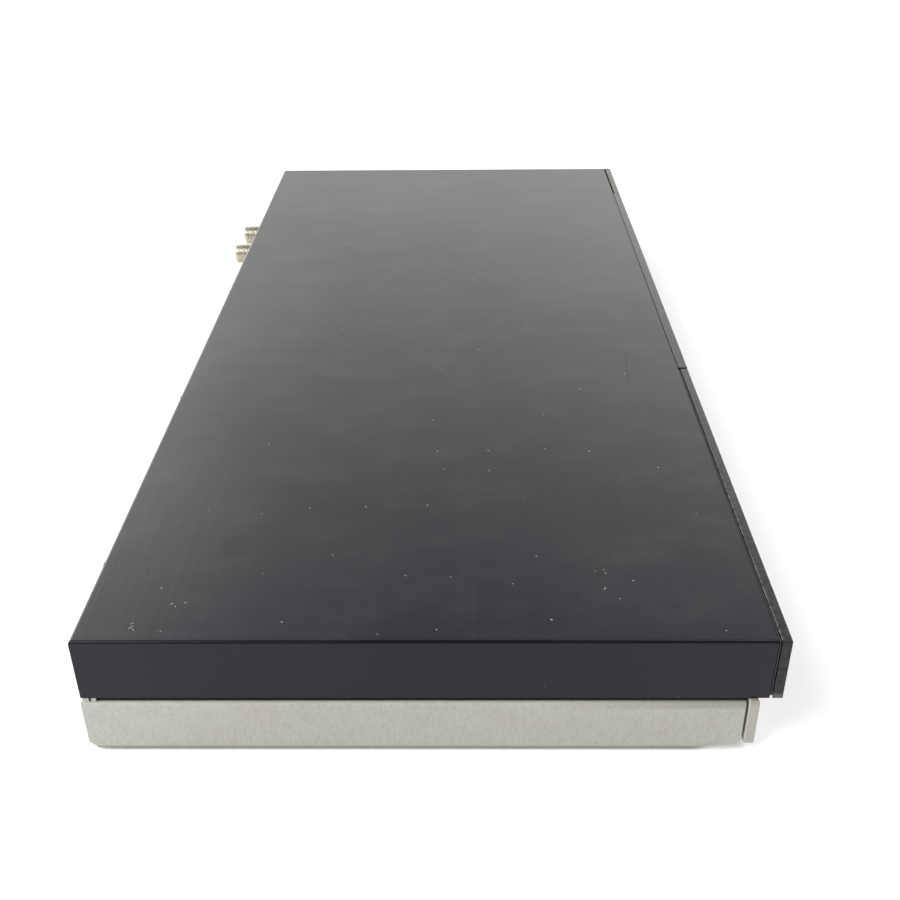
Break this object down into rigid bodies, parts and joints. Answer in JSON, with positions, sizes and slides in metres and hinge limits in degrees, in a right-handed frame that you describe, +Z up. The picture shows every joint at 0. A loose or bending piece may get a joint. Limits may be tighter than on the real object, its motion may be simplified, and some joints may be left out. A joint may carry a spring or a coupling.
{
  "type": "blu-ray recorder",
  "caption": "Slim black disc recorder with a grey base, a sliding disc tray, a flap door, front buttons, rear sockets and a hard disk inside.",
  "frame": {"origin": "on the floor, below the middle of the whole outline", "axes": "+X to the user's right along the front, the front looks along -Y, +Z up"},
  "size_m": [0.43, 0.205, 0.0391],
  "materials": {
    "cover_black": "satin black paint on sheet steel",
    "dark_screw": "black screws",
    "base_grey": "light grey leather-grained coating",
    "foot_rubber": "matte",
    "strip_grey": "light grey, fine grain",
    "frame_plastic": "moulded",
    "front_gloss": "gloss black face, finely grained edge",
    "smoked_window": "smoked and clear",
    "button_black": "gloss",
    "circuit_board": "solder mask",
    "display_glass": "display glass",
    "rear_steel": "dark coated sheet",
    "socket_black": "moulded",
    "socket_steel": "plated shell",
    "tin_plate": "tinned sheet",
    "nickel_plate": "nickel plated brass",
    "fan_black": "moulded",
    "sink_aluminium": "extruded",
    "chip_epoxy": "epoxy",
    "power_phenolic": "phenolic board",
    "ferrite": "ferrite with yellow tape",
    "capacitor_sleeve": "shrunk sleeve",
    "zinc_screw": "zinc plated",
    "cast_case": "cast, blasted",
    "disk_lid": "stamped lid",
    "zinc_sheet": "zinc-coated sheet",
    "drive_plastic": "moulded",
    "cable_white": "flat cable",
    "damper_rubber": "soft",
    "motor_can": "drawn can",
    "turntable_plastic": "moulded with rubber seat",
    "clamp_plastic": "moulded",
    "polished_rod": "ground steel",
    "cast_sled": "die cast",
    "lens_glass": "coated lens in its holder",
    "gear_plastic": "natural acetal",
    "belt_rubber": "smooth",
    "tray_plastic": "moulded"
  },
  "bodies": {
    "case": {"top_cover": "cover_black", "cover_screws": "dark_screw", "base_chassis": "base_grey", "foot_pads": "foot_rubber", "lower_front_strip": "strip_grey", "front_frame": "frame_plastic", "right_panel": "front_gloss", "display_window": "smoked_window", "key_board": "circuit_board", "display_module": "display_glass", "rear_panel": "rear_steel", "socket_panel": "rear_steel", "ac_inlet": "socket_black", "lan_socket": "socket_steel", "hdmi_socket": "socket_steel", "optical_output": "socket_black", "av_jack": "socket_black", "antenna_block": "tin_plate", "antenna_connectors": "nickel_plate", "fan_housing": "fan_black", "main_board": "circuit_board", "main_heat_sink": "sink_aluminium", "board_chips": "chip_epoxy", "power_board": "power_phenolic", "transformer": "ferrite", "mains_capacitor": "capacitor_sleeve", "power_heat_sink": "sink_aluminium", "board_screws": "zinc_screw", "front_board": "circuit_board", "front_usb_socket": "socket_steel", "card_reader": "tin_plate", "disk_drive_case": "cast_case", "disk_drive_lid": "disk_lid", "disk_drive_board": "circuit_board", "disk_drive_bracket": "zinc_sheet", "drive_chassis": "drive_plastic", "drive_lid": "zinc_sheet", "drive_board": "circuit_board", "flat_cable": "cable_white", "traverse_plate": "zinc_sheet", "traverse_dampers": "damper_rubber", "spindle_motor": "motor_can", "guide_rods": "polished_rod", "sled_motor": "motor_can", "loading_motor": "motor_can", "drive_belt": "belt_rubber"},
    "tray": {"disc_tray": "tray_plastic", "tray_bezel": "front_gloss"},
    "gear": {"drive_gear": "gear_plastic"},
    "pulley": {"belt_pulley": "gear_plastic"},
    "motor_wheel": {"motor_pulley": "gear_plastic"},
    "turntable_spindle": {"turntable": "turntable_plastic"},
    "clamp": {"clamp_plate": "clamp_plastic"},
    "sled": {"pickup_sled": "cast_sled"},
    "lens": {"pickup_lens": "lens_glass"},
    "screw": {"lead_screw": "polished_rod"},
    "fan_wheel": {"fan_rotor": "fan_black"},
    "flap": {"flap_door": "front_gloss"},
    "power_key": {"power_button": "button_black"},
    "eject_key": {"eject_button": "button_black"}
  },
  "joints": [
    {"name": "tray_slide", "type": "slide", "parent": "case", "child": "tray", "axis": [0, -1, 0], "range_m": [0, 0.138]},
    {"name": "gear_spin", "type": "hinge", "parent": "case", "child": "gear", "pos_m": [-0.0924, -0.078, 0.02], "axis": [0, 0, 1], "range_deg": [-716, 10]},
    {"name": "pulley_spin", "type": "hinge", "parent": "case", "child": "pulley", "pos_m": [-0.1104, -0.078, 0.02], "axis": [0, 0, 1], "range_deg": [-10, 1173]},
    {"name": "motor_wheel_spin", "type": "hinge", "parent": "case", "child": "motor_wheel", "pos_m": [-0.1422, -0.078, 0.017], "axis": [0, 0, 1], "range_deg": [-10, 3815]},
    {"name": "turntable_spin", "type": "hinge", "parent": "case", "child": "turntable_spindle", "pos_m": [-0.1332, -0.026, 0.02], "axis": [0, 0, 1], "continuous": true},
    {"name": "clamp_spin", "type": "hinge", "parent": "case", "child": "clamp", "pos_m": [-0.1332, -0.026, 0.03], "axis": [0, 0, 1], "continuous": true},
    {"name": "sled_slide", "type": "slide", "parent": "case", "child": "sled", "axis": [0, 1, 0], "range_m": [0, 0.035]},
    {"name": "screw_spin", "type": "hinge", "parent": "case", "child": "screw", "pos_m": [-0.0992, 0.02, 0.017], "axis": [0, 1, 0], "range_deg": [-20, 4220]},
    {"name": "lens_focus", "type": "slide", "parent": "sled", "child": "lens", "axis": [0, 0, 1], "range_m": [-0.0003, 0.0004], "stiffness_N_per_m": 40},
    {"name": "fan_spin", "type": "hinge", "parent": "case", "child": "fan_wheel", "pos_m": [-0.005, 0.0847, 0.021], "axis": [0, 1, 0], "continuous": true},
    {"name": "flap_hinge", "type": "hinge", "parent": "case", "child": "flap", "pos_m": [0.18965, -0.1011, 0.02045], "axis": [1, 0, 0], "range_deg": [0, 90]},
    {"name": "power_press", "type": "slide", "parent": "case", "child": "power_key", "axis": [0, 1, 0], "range_m": [0, 0.0007], "stiffness_N_per_m": 900},
    {"name": "eject_press", "type": "slide", "parent": "case", "child": "eject_key", "axis": [0, 1, 0], "range_m": [0, 0.0007], "stiffness_N_per_m": 900}
  ],
  "couplings": [
    {"joint": "gear_spin", "follows": "tray_slide", "rad_per_m": -89.286},
    {"joint": "pulley_spin", "follows": "tray_slide", "rad_per_m": 147.06},
    {"joint": "motor_wheel_spin", "follows": "tray_slide", "rad_per_m": 480.02},
    {"joint": "clamp_spin", "follows": "turntable_spin", "ratio": 1},
    {"joint": "screw_spin", "follows": "sled_slide", "rad_per_m": 2094.4}
  ]
}
